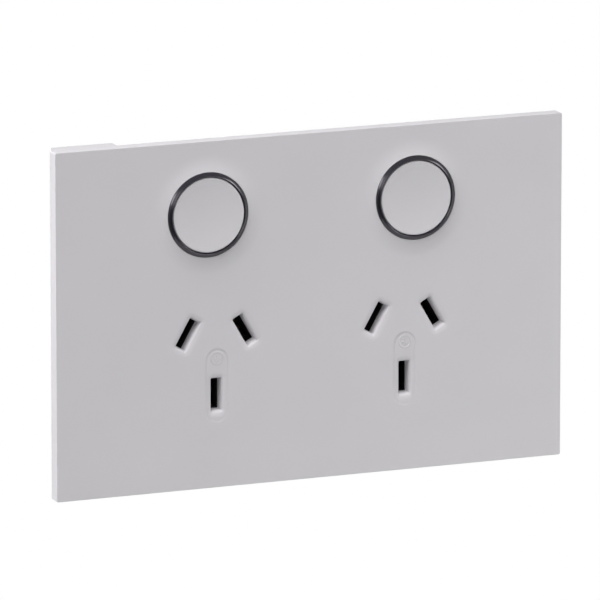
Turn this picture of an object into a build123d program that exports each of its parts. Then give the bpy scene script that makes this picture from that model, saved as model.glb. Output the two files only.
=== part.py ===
from build123d import *
from math import cos, radians, sin
import os

# A double wall socket in millimetres. X runs right and Z runs up as seen from the room.
# Y runs into the wall, and the wall's surface is y = 0, so the front face is at minus Y.

# Plate
PLATE_W = 124.0
PLATE_H = 80.0
COVER_DEPTH = 3.3
COVER_SKIN = 1.8
COVER_RIM = 1.6
PLATE_CORNER = 0.4
PLATE_EDGE = 0.25
FRAME_DEPTH = 3.1
FRAME_INSET = 1.5
FACE_Y = -(COVER_DEPTH + FRAME_DEPTH)
SEAM_Y = -FRAME_DEPTH
SKIN_Y = FACE_Y + COVER_SKIN

# Tab of the frame that comes up flush with the cover's top edge
TAB_W = 14.6
TAB_LAP = 2.0
TAB_X = -PLATE_W / 2 + FRAME_INSET + TAB_W / 2

# Buttons: a dished cap in a dark ring, on a flare that rises from the face
BUTTON_X = 25.4
BUTTON_Z = 23.2
BUTTON_TRAVEL = 2.0
FLARE_R = 13.8
FLARE_H = 0.5
RING_R = 9.74
RING_RIDGE_R = 8.92
RING_RISE = 1.15
RING_SLOPE = 20.0
RING_BREAK = 0.1
RING_FLANGE = 1.2
RING_FLANGE_T = 0.8
RING_SEAT_GAP = 0.05
CAP_R = 8.6
CAP_GAP = 0.25
CAP_RISE = 0.95
CAP_DISH = 0.42
CAP_EDGE = 0.3
CAP_WALL = 1.4
CAP_SKIRT = 3.0
CREST_Y = FACE_Y - FLARE_H
RIM_Y = FACE_Y - CAP_RISE
DISH_Y = RIM_Y + CAP_DISH
CAP_INNER_Y = DISH_Y + CAP_WALL

# Sockets: pins on the circles of the three-pin flat plug
SOCKET_X = 23.1
SOCKET_Z = -7.95
LIVE_CIRCLE = 7.92
EARTH_CIRCLE = 10.31
LIVE_TILT = 30.0
SLOT_L = 7.2
SLOT_W = 2.55
SLOT_CORNER = 0.25
SLOT_DROP = 0.18
LEAD_R = 1.2
COLLAR_T = 0.8
COLLAR_GAP = 0.15
COLLAR_DEPTH = 3.4
COLLAR_Y = FACE_Y + COLLAR_DEPTH
LIVE_DX = LIVE_CIRCLE * sin(radians(60))
LIVE_Z = SOCKET_Z + LIVE_CIRCLE / 2
EARTH_Z = SOCKET_Z - EARTH_CIRCLE

# Stadium inserts round the earth slots
INSERT_W = 5.0
INSERT_L = 16.55
INSERT_UP = 1.89
INSERT_GAP = 0.03
INSERT_SINK = 0.08
INSERT_LEAD_R = 1.05
BEVEL_W = 0.32
BEVEL_D = 0.08
INSERT_LIP = 0.8
INSERT_LIP_T = 0.7
INSERT_Z = EARTH_Z + INSERT_UP
INSERT_Y = FACE_Y + INSERT_SINK

# Housing behind the plate
HOUSING_W = 71.0
HOUSING_H = 57.0
HOUSING_BACK = 22.0
HOUSING_WALL = 2.0
HOUSING_CORNER = 1.5
FLANGE_SIDE = 2.1
FLANGE_TOP = 2.5
FLANGE_T = 1.4
FIT_GAP = 0.2
PLATEAU_TOP = 8.0
RECESS_FLOOR = -1.4
RECESS_GAP = 0.5
CHANNEL_GAP = 0.1
WELL_GAP = 0.25
REAR_T = 2.0
REAR_EDGE = 0.4
FRONT_WALL_Y = RECESS_FLOOR + HOUSING_WALL
PLATEAU_Y = SKIN_Y + 0.1
LEDGE_Y = SEAM_Y + FLANGE_T

# Contact strips
STRIP_T = 0.8
STRIP_W = 4.0
LEAF_T = 0.6
JAW_W = 6.0
JAW_FRONT = 3.2
JAW_THROAT_Y = 6.0
JAW_THROAT = 0.72
JAW_LIP = 1.45
JAW_BASE = 1.0
JAW_WELL_Y = JAW_FRONT - 0.4
LIVE_BASE_Y = 12.0
EARTH_BASE_Y = 16.0
NEUTRAL_BUS_DROP = 7.5
ACTIVE_RUN_UP = 10.0

# Switches
BRIDGE_Y = 1.8
BRIDGE_L = 14.0
BRIDGE_W = 3.6
PAD_DX = 5.0
PAD_UP = 2.0
RIVET_R = 1.3
RIVET_H = 0.7
CARRIAGE_W = 5.2
CARRIAGE_H = 6.6
CARRIAGE_L = 8.0
SWITCH_W = 16.0
SWITCH_H = 7.6
STEM_R = 2.4
STEM_GAP = 0.1
SPIGOT_R = 1.9
SPIGOT_L = 1.7
SPRING_R = 2.2
SPRING_WIRE = 0.6
SPRING_TURNS = 4.0
SPRING_L = 5.9
SPRING_SPIGOT_R = 1.5
SPRING_SPIGOT_L = 1.4
SLIP_GAP = 0.05
CARRIAGE_Y = FRONT_WALL_Y + SLIP_GAP
CARRIAGE_BACK = CARRIAGE_Y + CARRIAGE_L
SWITCH_BASE_Y = BRIDGE_Y + STRIP_T + 2 * RIVET_H + BUTTON_TRAVEL
POST_Y = CARRIAGE_BACK + SPRING_L

# Terminals in a bay that opens to the top and the back
TERMINAL_DX = 11.0
TERMINAL_W = 7.0
TERMINAL_H = 10.0
TERMINAL_D = 9.0
TERMINAL_Z = 14.5
TERMINAL_Y = 10.0
TERMINAL_SEAT = 0.2
TUNNEL_R = 2.1
TUNNEL_L = 8.0
TUNNEL_INSET = 3.0
CLAMP_R = 1.9
CLAMP_HEAD_R = 2.8
CLAMP_HEAD_H = 1.8
CLAMP_STANDOFF = 0.6
CLAMP_UP = 6.0
BAY_SIDE = 1.0
BARRIER_T = 1.2
FEED_Z = 10.0
FEED_H = 3.0
BAY_W = 2 * TERMINAL_DX + TERMINAL_W + 2 * BAY_SIDE
BAY_Z = TERMINAL_Z - TERMINAL_SEAT
BAY_Y = TERMINAL_Y - TERMINAL_SEAT

# Screws
WALL_SCREW_X = 42.0
WALL_SCREW_R = 1.75
WALL_SCREW_END = 26.0
WALL_NECK_R = 1.5
WALL_NECK_END = 0.2
WALL_HOLE_R = 1.9
WALL_HEAD_R = 3.3
WALL_HEAD_H = 2.0
WALL_SEAT_Y = -1.5
WALL_SEAT_R = 3.8
REAR_SCREW_R = 1.15
REAR_SCREW_L = 9.0
REAR_HEAD_R = 2.4
REAR_HEAD_H = 1.5
REAR_SCREWS = [(-25.0, 6.0), (25.0, 6.0), (-31.5, -25.0), (31.5, -25.0)]
HEAD_EDGE = 0.5
DRIVE_SLOT_W = 0.8
DRIVE_SLOT_D = 0.8

# Snap hooks of the cover and the pockets in the frame's back that they catch in
HOOK_INSET = 9.0
HOOK_X = PLATE_W / 2 - HOOK_INSET
HOOK_Z = 22.0
HOOK_W = 8.0
HOOK_T = 1.2
HOOK_BARB = 0.6
HOOK_GAP = 0.25
POCKET_D = 1.3
POCKET_RIM = 1.8
POCKET_IN = 47.5
POCKET_Z = 5.0
RIB_T = 1.2
RIB_Z = [13.0, 31.0]
HOOK_END = -0.4

SIDES = {"left": -1, "right": 1}
FRONT_VIEW = Plane(origin=(0, 0, 0), x_dir=(1, 0, 0), z_dir=(0, -1, 0))


def layer(outline, front, back):
    """Solid over an outline drawn in X and Z, from depth front to depth back."""
    return Pos(0, back, 0) * extrude(FRONT_VIEW * outline, amount=back - front)


def taper(front_outline, back_outline, front, back):
    """Solid between two outlines drawn in X and Z, at depths front and back."""
    ends = [Pos(0, front, 0) * (FRONT_VIEW * front_outline), Pos(0, back, 0) * (FRONT_VIEW * back_outline)]
    return loft(ends)


def bar(x0, x1, z0, z1, front, back):
    """Block between two X, two Z and two depth limits."""
    middle = Pos((x0 + x1) / 2, (front + back) / 2, (z0 + z1) / 2)
    return middle * Box(x1 - x0, back - front, z1 - z0)


def rod(x, z, radius, front, back):
    """Cylinder along Y."""
    return Pos(x, (front + back) / 2, z) * Rot(90, 0, 0) * Cylinder(radius, back - front)


def turned(x, z, *edges):
    """Solid of revolution about an axis along Y; edges are drawn with X as radius and Y as depth."""
    return Pos(x, 0, z) * revolve(make_face(edges), Axis.Y)


def slot(grow):
    """Outline of a pin slot grown all round; it sits a little low along its length."""
    return Pos(0, -SLOT_DROP) * RectangleRounded(SLOT_W + 2 * grow, SLOT_L + 2 * grow, SLOT_CORNER + grow)


def live_slot(side, across, grow):
    """Slanted pin slot; across is -1 for active and 1 for neutral."""
    place = Pos(side * SOCKET_X + across * LIVE_DX, LIVE_Z) * Rot(0, 0, across * LIVE_TILT)
    return place * slot(grow)


def earth_slot(side, grow):
    return Pos(side * SOCKET_X, EARTH_Z) * slot(grow)


def stadium(side, grow):
    """Outline of an earth insert, grown all round."""
    return Pos(side * SOCKET_X, INSERT_Z) * Rot(0, 0, 90) * SlotOverall(INSERT_L + 2 * grow, INSERT_W + 2 * grow)


def rim_edges(shape, x, z):
    """Rim of the opening nearest to (x, z) in the frontmost face."""
    front = shape.faces().sort_by(Axis.Y)[0]
    middle = Vector(x, FACE_Y, z)
    rims = sorted(front.inner_wires(), key=lambda rim: (rim.center() - middle).length)
    return rims[0].edges()


def front_cover():
    """Shallow tray with flared button openings, collared pin entries, insert openings and hooks."""
    plate = layer(RectangleRounded(PLATE_W, PLATE_H, PLATE_CORNER), FACE_Y, SEAM_Y)
    outer = plate.faces().sort_by(Axis.Y)[0].edges()
    plate = fillet(outer, PLATE_EDGE)
    plate -= layer(Rectangle(PLATE_W - 2 * COVER_RIM, PLATE_H - 2 * COVER_RIM), SKIN_Y, SEAM_Y)
    for side in SIDES.values():
        for across in (-1, 1):
            plate += layer(live_slot(side, across, COLLAR_T), SKIN_Y - 0.2, COLLAR_Y)
            plate -= layer(live_slot(side, across, 0), FACE_Y, COLLAR_Y)
    for side in SIDES.values():
        for across in (-1, 1):
            x = side * SOCKET_X + across * LIVE_DX
            plate = fillet(rim_edges(plate, x, LIVE_Z), LEAD_R)
    for side in SIDES.values():
        opening = stadium(side, INSERT_GAP)
        plate -= taper(stadium(side, INSERT_GAP + BEVEL_W), opening, FACE_Y, FACE_Y + BEVEL_D)
        plate -= layer(opening, FACE_Y, SKIN_Y)
        plate -= layer(stadium(side, INSERT_LIP + INSERT_GAP), SKIN_Y - INSERT_LIP_T - 0.1, SKIN_Y)
    for side in SIDES.values():
        x = side * BUTTON_X
        plate += flare(x)
        plate -= rod(x, BUTTON_Z, RING_R + RING_SEAT_GAP, CREST_Y - 1, SKIN_Y)
        seat = RING_R + RING_FLANGE + RING_SEAT_GAP
        plate -= rod(x, BUTTON_Z, seat, SKIN_Y - RING_FLANGE_T - RING_SEAT_GAP, SKIN_Y)
    for side in SIDES.values():
        for z in (-HOOK_Z, HOOK_Z):
            plate += hook(side, z)
    return plate


def flare(x):
    """Trumpet that leaves the face at FLARE_R and rises along an arc to its crest at the ring."""
    inner = RING_R + RING_SEAT_GAP
    run = FLARE_R - inner
    arc_r = (run * run + FLARE_H * FLARE_H) / (2 * FLARE_H)
    half = (arc_r * arc_r - run * run / 4) ** 0.5
    middle = (inner + run / 2, FACE_Y - arc_r + half)
    root = FACE_Y + COVER_SKIN / 2
    return turned(
        x,
        BUTTON_Z,
        ThreePointArc((FLARE_R, FACE_Y), middle, (inner, CREST_Y)),
        Polyline((inner, CREST_Y), (inner, root), (FLARE_R, root), (FLARE_R, FACE_Y)),
    )


def hook(side, z):
    """Snap hook on the back of the cover, with its barb facing the plate's end."""
    inner = side * HOOK_X
    outer = inner + side * HOOK_T
    tip = outer + side * HOOK_BARB
    catch = SEAM_Y + FRAME_DEPTH - POCKET_D + SLIP_GAP
    outline = Polyline(
        (inner, SKIN_Y - 0.2),
        (outer, SKIN_Y - 0.2),
        (outer, catch),
        (tip, catch),
        (outer, HOOK_END),
        (inner, HOOK_END),
        (inner, SKIN_Y - 0.2),
    )
    return Pos(0, 0, z) * extrude(make_face(outline), amount=HOOK_W / 2, both=True)


def earth_insert(side):
    """Stadium insert with the collared earth slot, held by a lip behind the cover."""
    body = layer(stadium(side, 0), INSERT_Y, SKIN_Y)
    body += layer(stadium(side, INSERT_LIP), SKIN_Y - INSERT_LIP_T, SKIN_Y)
    body += layer(earth_slot(side, COLLAR_T), SKIN_Y - 0.2, COLLAR_Y)
    body -= layer(earth_slot(side, 0), INSERT_Y, COLLAR_Y)
    return fillet(rim_edges(body, side * SOCKET_X, EARTH_Z), INSERT_LEAD_R)


def halo_ring(side):
    """Dark ring that falls in an arc from a ridge at its bore to the flare, flanged behind the cover."""
    inner = CAP_R + CAP_GAP
    ridge_y = FACE_Y - RING_RISE
    outward = (cos(radians(RING_SLOPE)), sin(radians(RING_SLOPE)))
    flange = RING_R + RING_FLANGE
    return turned(
        side * BUTTON_X,
        BUTTON_Z,
        TangentArc((RING_RIDGE_R, ridge_y), (RING_R, CREST_Y), tangent=outward),
        Polyline(
            (RING_RIDGE_R, ridge_y),
            (inner, ridge_y + RING_BREAK),
            (inner, SKIN_Y),
            (flange, SKIN_Y),
            (flange, SKIN_Y - RING_FLANGE_T),
            (RING_R, SKIN_Y - RING_FLANGE_T),
            (RING_R, CREST_Y),
        ),
    )


def button_cap(side):
    """Cup with a shallow spherical dish in front and a bored boss behind for the plunger."""
    x = side * BUTTON_X
    cap = rod(x, BUTTON_Z, CAP_R, RIM_Y, RIM_Y + CAP_SKIRT)
    dish_r = CAP_R - CAP_EDGE
    ball = (dish_r * dish_r + CAP_DISH * CAP_DISH) / (2 * CAP_DISH)
    cap -= Pos(x, DISH_Y - ball, BUTTON_Z) * Sphere(ball)
    cap = fillet(cap.faces().sort_by(Axis.Y)[0].outer_wire().edges(), CAP_EDGE * 0.8)
    cap -= rod(x, BUTTON_Z, CAP_R - CAP_WALL, CAP_INNER_Y, RIM_Y + CAP_SKIRT)
    cap += rod(x, BUTTON_Z, STEM_R + 1.0, CAP_INNER_Y, RIM_Y + CAP_SKIRT)
    cap -= rod(x, BUTTON_Z, SPIGOT_R, RIM_Y + CAP_SKIRT - SPIGOT_L, RIM_Y + CAP_SKIRT)
    return cap


def plunger(side):
    """Stem through the guide, with a spigot in the cap, a carriage for the bridge and a spring seat."""
    x = side * BUTTON_X
    shoulder = RIM_Y + CAP_SKIRT + SLIP_GAP
    body = rod(x, BUTTON_Z, SPIGOT_R - SLIP_GAP, shoulder - SPIGOT_L, shoulder)
    body += rod(x, BUTTON_Z, STEM_R, shoulder, CARRIAGE_Y)
    body += bar(
        x - CARRIAGE_W / 2,
        x + CARRIAGE_W / 2,
        BUTTON_Z - CARRIAGE_H / 2,
        BUTTON_Z + CARRIAGE_H / 2,
        CARRIAGE_Y,
        CARRIAGE_BACK,
    )
    body += rod(x, BUTTON_Z, SPRING_SPIGOT_R, CARRIAGE_BACK, CARRIAGE_BACK + SPRING_SPIGOT_L)
    body -= bar(
        x - CARRIAGE_W,
        x + CARRIAGE_W,
        BUTTON_Z - BRIDGE_W / 2 - SLIP_GAP,
        BUTTON_Z + BRIDGE_W / 2 + SLIP_GAP,
        BRIDGE_Y - SLIP_GAP,
        BRIDGE_Y + STRIP_T + SLIP_GAP,
    )
    return body


def contact_bridge(side):
    x = side * BUTTON_X
    z0 = BUTTON_Z - BRIDGE_W / 2
    z1 = BUTTON_Z + BRIDGE_W / 2
    return bar(x - BRIDGE_L / 2, x + BRIDGE_L / 2, z0, z1, BRIDGE_Y, BRIDGE_Y + STRIP_T)


def rivets(side, front):
    """The two contact rivets of one switch, as separate solids."""
    x = side * BUTTON_X
    places = (x - PAD_DX, x + PAD_DX)
    return [rod(p, BUTTON_Z, RIVET_R, front, front + RIVET_H) for p in places]


def return_spring(side):
    """Round-wire coil between the carriage and the post of the rear cover."""
    rise = SPRING_L - SPRING_WIRE - 2 * SLIP_GAP / 5
    path = Helix(rise / SPRING_TURNS, rise, SPRING_R)
    start = Plane(origin=path @ 0, z_dir=path % 0)
    coil = sweep(start * Circle(SPRING_WIRE / 2), path=path, is_frenet=True)
    front = CARRIAGE_BACK + SPRING_WIRE / 2 + SLIP_GAP / 5
    return Pos(side * BUTTON_X, front, BUTTON_Z) * Rot(-90, 0, 0) * coil


def jaw(x, z, tilt, base):
    """Pair of spring leaves that grip a flat pin, open to the front and joined by a web behind."""
    leaf = Polyline(
        (JAW_LIP, JAW_FRONT),
        (JAW_THROAT, JAW_THROAT_Y),
        (JAW_BASE, base),
        (JAW_BASE, base + STRIP_T),
        (JAW_BASE + LEAF_T, base + STRIP_T),
        (JAW_BASE + LEAF_T, base),
        (JAW_THROAT + LEAF_T, JAW_THROAT_Y),
        (JAW_LIP + LEAF_T, JAW_FRONT),
        (JAW_LIP, JAW_FRONT),
    )
    right = extrude(make_face(leaf), amount=JAW_W / 2, both=True)
    web = bar(-JAW_BASE - LEAF_T, JAW_BASE + LEAF_T, -JAW_W / 2, JAW_W / 2, base, base + STRIP_T)
    pair = right + mirror(right, Plane.YZ) + web
    return Pos(x, 0, z) * Rot(0, tilt, 0) * pair


def jaw_well(x, z, tilt, back):
    """Space in the housing for one jaw."""
    wide = 2 * (JAW_LIP + LEAF_T + WELL_GAP)
    long = JAW_W + 2 * WELL_GAP
    well = bar(-wide / 2, wide / 2, -long / 2, long / 2, JAW_WELL_Y, back)
    return Pos(x, 0, z) * Rot(0, tilt, 0) * well


def live_place(side, across):
    return side * SOCKET_X + across * LIVE_DX, LIVE_Z, -across * LIVE_TILT


def active_pads(side):
    """X of the output pad and the input pad of one switch."""
    return side * BUTTON_X - PAD_DX, side * BUTTON_X + PAD_DX


def active_route(side, grow, back):
    """Flat and stepped runs from a switch's output pad down to its active jaw."""
    x0 = active_pads(side)[0]
    x1 = live_place(side, -1)[0]
    half = STRIP_W / 2 + grow
    run_z = LIVE_Z + ACTIVE_RUN_UP
    step_z = BUTTON_Z - SWITCH_H / 2 - STRIP_T
    low = min(x0, x1) - half
    high = max(x0, x1) + half
    top = BUTTON_Z + PAD_UP + grow
    pad = bar(x0 - half, x0 + half, step_z - grow, top, SWITCH_BASE_Y - grow, back(SWITCH_BASE_Y))
    step_top = step_z + STRIP_T + grow
    step = bar(x0 - half, x0 + half, step_z - grow, step_top, SWITCH_BASE_Y - grow, back(LIVE_BASE_Y))
    drop = bar(x0 - half, x0 + half, run_z - half, step_top, LIVE_BASE_Y - grow, back(LIVE_BASE_Y))
    run = bar(low, high, run_z - half, run_z + half, LIVE_BASE_Y - grow, back(LIVE_BASE_Y))
    tail = bar(x1 - half, x1 + half, LIVE_Z, run_z + half, LIVE_BASE_Y - grow, back(LIVE_BASE_Y))
    return pad + step + drop + run + tail


def neutral_route(grow, back):
    """Bus below the live slots, with arms up to both neutral jaws and a riser to its terminal."""
    half = STRIP_W / 2 + grow
    left = live_place(-1, 1)[0]
    right = live_place(1, 1)[0]
    bus_z = LIVE_Z - NEUTRAL_BUS_DROP
    front = LIVE_BASE_Y - grow
    end = back(LIVE_BASE_Y)
    bus = bar(left - half, right + half, bus_z - half, bus_z + half, front, end)
    for x in (left, right):
        bus += bar(x - half, x + half, bus_z, LIVE_Z, front, end)
    bus += bar(TERMINAL_DX - half, TERMINAL_DX + half, bus_z, TERMINAL_Z, front, end)
    return bus


def earth_route(grow, back):
    """Bus between the earth jaws, with a riser to its terminal."""
    half = STRIP_W / 2 + grow
    front = EARTH_BASE_Y - grow
    end = back(EARTH_BASE_Y)
    bus = bar(-SOCKET_X - half, SOCKET_X + half, EARTH_Z - half, EARTH_Z + half, front, end)
    bus += bar(-half, half, EARTH_Z, TERMINAL_Z, front, end)
    return bus


def feed_route(grow, back):
    """Bus below the terminal bay, with risers to both input pads and an arm to its terminal."""
    half = STRIP_W / 2 + grow
    left = active_pads(-1)[1]
    right = active_pads(1)[1]
    front = SWITCH_BASE_Y - grow
    end = back(SWITCH_BASE_Y)
    top = BUTTON_Z + PAD_UP + grow
    low = FEED_Z - grow
    bus = bar(left - half, right + half, low, FEED_Z + FEED_H + grow, front, end)
    for x in (left, right):
        bus += bar(x - half, x + half, low, top, front, end)
    arm_top = TERMINAL_Z + FEED_H + grow
    bus += bar(-TERMINAL_DX - half, -TERMINAL_DX + half, low, arm_top, front, end)
    return bus


def strip_back(front):
    return front + STRIP_T


def housing_back(front):
    return HOUSING_BACK


def active_contact(side):
    x, z, tilt = live_place(side, -1)
    return active_route(side, 0, strip_back) + jaw(x, z, tilt, LIVE_BASE_Y)


def neutral_strip():
    strip = neutral_route(0, strip_back)
    for side in SIDES.values():
        x, z, tilt = live_place(side, 1)
        strip += jaw(x, z, tilt, LIVE_BASE_Y)
    return strip


def earth_strip():
    strip = earth_route(0, strip_back)
    for side in SIDES.values():
        strip += jaw(side * SOCKET_X, EARTH_Z, 0, EARTH_BASE_Y)
    return strip


def active_feed_strip():
    half = STRIP_W / 2
    low = TERMINAL_Z + FEED_H - STRIP_T
    high = TERMINAL_Z + FEED_H
    lug = bar(-TERMINAL_DX - half, -TERMINAL_DX + half, low, high, SWITCH_BASE_Y, TERMINAL_Y)
    return feed_route(0, strip_back) + lug


def terminal(x):
    """Brass block with a blind wire tunnel from the top and a clamp screw hole from the back."""
    top = TERMINAL_Z + TERMINAL_H
    half = TERMINAL_W / 2
    block = bar(x - half, x + half, TERMINAL_Z, top, TERMINAL_Y, TERMINAL_Y + TERMINAL_D)
    block = chamfer(block.edges().filter_by(Axis.Z), 0.5)
    tunnel_y = TERMINAL_Y + TUNNEL_INSET
    block -= Pos(x, tunnel_y, top - TUNNEL_L / 2) * Cylinder(TUNNEL_R, TUNNEL_L)
    clamp_r = CLAMP_R + SLIP_GAP
    return block - rod(x, TERMINAL_Z + CLAMP_UP, clamp_r, tunnel_y, TERMINAL_Y + TERMINAL_D)


def screw_head(x, z, radius, seat, top):
    """Screw head from its seat to its top, with a rounded rim."""
    low, high = sorted((seat, top))
    head = rod(x, z, radius, low, high)
    ends = head.faces().sort_by(Axis.Y)
    end = ends[-1] if top > seat else ends[0]
    return fillet(end.edges(), HEAD_EDGE)


def clamp_screw(x):
    z = TERMINAL_Z + CLAMP_UP
    tip = TERMINAL_Y + TUNNEL_INSET + TUNNEL_R + FIT_GAP
    seat = TERMINAL_Y + TERMINAL_D + CLAMP_STANDOFF
    end = seat + CLAMP_HEAD_H
    screw = rod(x, z, CLAMP_R, tip, seat) + screw_head(x, z, CLAMP_HEAD_R, seat, end)
    half = DRIVE_SLOT_W / 2
    reach = 2 * CLAMP_HEAD_R
    return screw - bar(x - reach, x + reach, z - half, z + half, end - DRIVE_SLOT_D, end)


def rear_screw(x, z):
    seat = HOUSING_BACK + REAR_T
    end = seat + REAR_HEAD_H
    screw = rod(x, z, REAR_SCREW_R, seat - REAR_SCREW_L, seat) + screw_head(x, z, REAR_HEAD_R, seat, end)
    half = DRIVE_SLOT_W / 2
    arm = REAR_HEAD_R * 0.62
    screw -= bar(x - arm, x + arm, z - half, z + half, end - DRIVE_SLOT_D, end)
    return screw - bar(x - half, x + half, z - arm, z + arm, end - DRIVE_SLOT_D, end)


def wall_screw(x):
    """Captive screw: head in the frame's seat, thin neck in its hole, full shank behind the wall plane."""
    top = WALL_SEAT_Y - WALL_HEAD_H
    screw = screw_head(x, 0, WALL_HEAD_R, WALL_SEAT_Y, top)
    screw += rod(x, 0, WALL_NECK_R, WALL_SEAT_Y, WALL_NECK_END)
    screw += rod(x, 0, WALL_SCREW_R, WALL_NECK_END, WALL_SCREW_END)
    half = DRIVE_SLOT_W / 2
    reach = 2 * WALL_HEAD_R
    return screw - bar(x - reach, x + reach, -half, half, top, top + DRIVE_SLOT_D)


def mounting_frame():
    """Grid plate behind the cover, with the housing's window, screw seats, hook slots and the tab."""
    width = PLATE_W - 2 * FRAME_INSET
    height = PLATE_H - 2 * FRAME_INSET
    frame = layer(RectangleRounded(width, height, PLATE_CORNER), SEAM_Y, 0)
    tab_top = PLATE_H / 2
    frame += bar(TAB_X - TAB_W / 2, TAB_X + TAB_W / 2, height / 2 - TAB_LAP, tab_top, SEAM_Y, 0)
    gap = 2 * FIT_GAP
    frame -= layer(RectangleRounded(HOUSING_W + gap, HOUSING_H + gap, HOUSING_CORNER), SEAM_Y, 0)
    rebate = Rectangle(HOUSING_W + 2 * FLANGE_SIDE + gap, HOUSING_H + 2 * FLANGE_TOP + gap)
    frame -= layer(rebate, SEAM_Y, LEDGE_Y)
    for side in SIDES.values():
        frame -= rod(side * BUTTON_X, BUTTON_Z, CAP_R + RECESS_GAP, SEAM_Y, RECESS_FLOOR)
        frame -= rod(side * WALL_SCREW_X, 0, WALL_SEAT_R, SEAM_Y, WALL_SEAT_Y)
        frame -= rod(side * WALL_SCREW_X, 0, WALL_HOLE_R, WALL_SEAT_Y, 0)
        for z_sign in (-1, 1):
            frame -= back_pocket(side, z_sign)
            frame -= hook_slot(side, z_sign)
    return frame


def back_pocket(side, z_sign):
    """Hollow in the frame's back, crossed by two ribs."""
    ends = sorted((side * POCKET_IN, side * (PLATE_W / 2 - FRAME_INSET - POCKET_RIM)))
    levels = sorted((z_sign * POCKET_Z, z_sign * (PLATE_H / 2 - FRAME_INSET - POCKET_RIM)))
    pocket = bar(ends[0], ends[1], levels[0], levels[1], -POCKET_D, 0)
    for up in RIB_Z:
        middle = z_sign * up
        pocket -= bar(ends[0], ends[1], middle - RIB_T / 2, middle + RIB_T / 2, -POCKET_D, 0)
    return pocket


def hook_slot(side, z_sign):
    ends = sorted((side * (HOOK_X - HOOK_BARB - HOOK_GAP), side * (HOOK_X + HOOK_T + HOOK_GAP)))
    middle = z_sign * HOOK_Z
    half = HOOK_W / 2 + HOOK_GAP
    return bar(ends[0], ends[1], middle - half, middle + half, SEAM_Y, 0)


def socket_housing():
    """Insulating block: flange in the frame, pin channels, jaw wells, strip grooves, switches and bay."""
    half_w = HOUSING_W / 2
    half_h = HOUSING_H / 2
    block = layer(RectangleRounded(HOUSING_W, HOUSING_H, HOUSING_CORNER), LEDGE_Y, HOUSING_BACK)
    flange = Rectangle(HOUSING_W + 2 * FLANGE_SIDE, HOUSING_H + 2 * FLANGE_TOP)
    block += layer(flange, SEAM_Y, LEDGE_Y)
    block += bar(-half_w, half_w, -half_h, PLATEAU_TOP, PLATEAU_Y, SEAM_Y)
    for side in SIDES.values():
        x = side * BUTTON_X
        block -= rod(x, BUTTON_Z, CAP_R + RECESS_GAP, SEAM_Y, RECESS_FLOOR)
        block -= rod(x, BUTTON_Z, STEM_R + STEM_GAP, RECESS_FLOOR, FRONT_WALL_Y)
        block -= bar(
            x - SWITCH_W / 2,
            x + SWITCH_W / 2,
            BUTTON_Z - SWITCH_H / 2,
            BUTTON_Z + SWITCH_H / 2,
            FRONT_WALL_Y,
            HOUSING_BACK,
        )
        for across in (-1, 1):
            block -= layer(live_slot(side, across, COLLAR_T + COLLAR_GAP), PLATEAU_Y, COLLAR_Y + COLLAR_GAP)
            block -= layer(live_slot(side, across, CHANNEL_GAP), PLATEAU_Y, JAW_WELL_Y)
            block -= jaw_well(*live_place(side, across), HOUSING_BACK)
        block -= layer(earth_slot(side, COLLAR_T + COLLAR_GAP), PLATEAU_Y, COLLAR_Y + COLLAR_GAP)
        block -= layer(earth_slot(side, CHANNEL_GAP), PLATEAU_Y, JAW_WELL_Y)
        block -= jaw_well(side * SOCKET_X, EARTH_Z, 0, HOUSING_BACK)
        block -= active_route(side, WELL_GAP, housing_back)
    block -= neutral_route(WELL_GAP, housing_back)
    block -= earth_route(WELL_GAP, housing_back)
    block -= feed_route(WELL_GAP, housing_back)
    block -= bar(-BAY_W / 2, BAY_W / 2, BAY_Z, half_h, BAY_Y, HOUSING_BACK)
    for x in (-TERMINAL_DX / 2, TERMINAL_DX / 2):
        block += bar(x - BARRIER_T / 2, x + BARRIER_T / 2, BAY_Z, half_h, BAY_Y, HOUSING_BACK)
    for x, z in REAR_SCREWS:
        block -= rod(x, z, REAR_SCREW_R + SLIP_GAP, HOUSING_BACK + REAR_T - REAR_SCREW_L, HOUSING_BACK)
    return block


def rear_cover():
    """Flat insulator over the housing's back, with spring posts and the bay left open."""
    back = HOUSING_BACK + REAR_T
    plate = layer(RectangleRounded(HOUSING_W, HOUSING_H, HOUSING_CORNER), HOUSING_BACK, back)
    plate = chamfer(plate.faces().sort_by(Axis.Y)[-1].edges(), REAR_EDGE)
    plate -= bar(-BAY_W / 2, BAY_W / 2, BAY_Z, HOUSING_H, HOUSING_BACK, back)
    for side in SIDES.values():
        x = side * BUTTON_X
        plate += rod(x, BUTTON_Z, SPRING_R + SPRING_WIRE, POST_Y, HOUSING_BACK)
        plate += rod(x, BUTTON_Z, SPRING_SPIGOT_R, POST_Y - SPRING_SPIGOT_L, POST_Y)
    for x, z in REAR_SCREWS:
        plate -= rod(x, z, REAR_SCREW_R + SLIP_GAP, HOUSING_BACK, back)
    return plate


def save(name, shape):
    shape.label = name
    export_step(shape, "parts/" + name + ".step")


os.makedirs("parts", exist_ok=True)
save("front_cover", front_cover())
save("mounting_frame", mounting_frame())
save("socket_housing", socket_housing())
save("rear_cover", rear_cover())
save("neutral_strip", neutral_strip())
save("earth_strip", earth_strip())
save("active_feed_strip", active_feed_strip())
for name, side in SIDES.items():
    save(name + "_earth_insert", earth_insert(side))
    save(name + "_halo_ring", halo_ring(side))
    save(name + "_button_cap", button_cap(side))
    save(name + "_plunger", plunger(side))
    save(name + "_contact_bridge", contact_bridge(side))
    save(name + "_bridge_rivets", Compound(rivets(side, BRIDGE_Y + STRIP_T)))
    save(name + "_fixed_rivets", Compound(rivets(side, SWITCH_BASE_Y - RIVET_H)))
    save(name + "_return_spring", return_spring(side))
    save(name + "_active_contact", active_contact(side))
for name, x in {"active": -TERMINAL_DX, "earth": 0.0, "neutral": TERMINAL_DX}.items():
    save(name + "_terminal", terminal(x))
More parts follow.
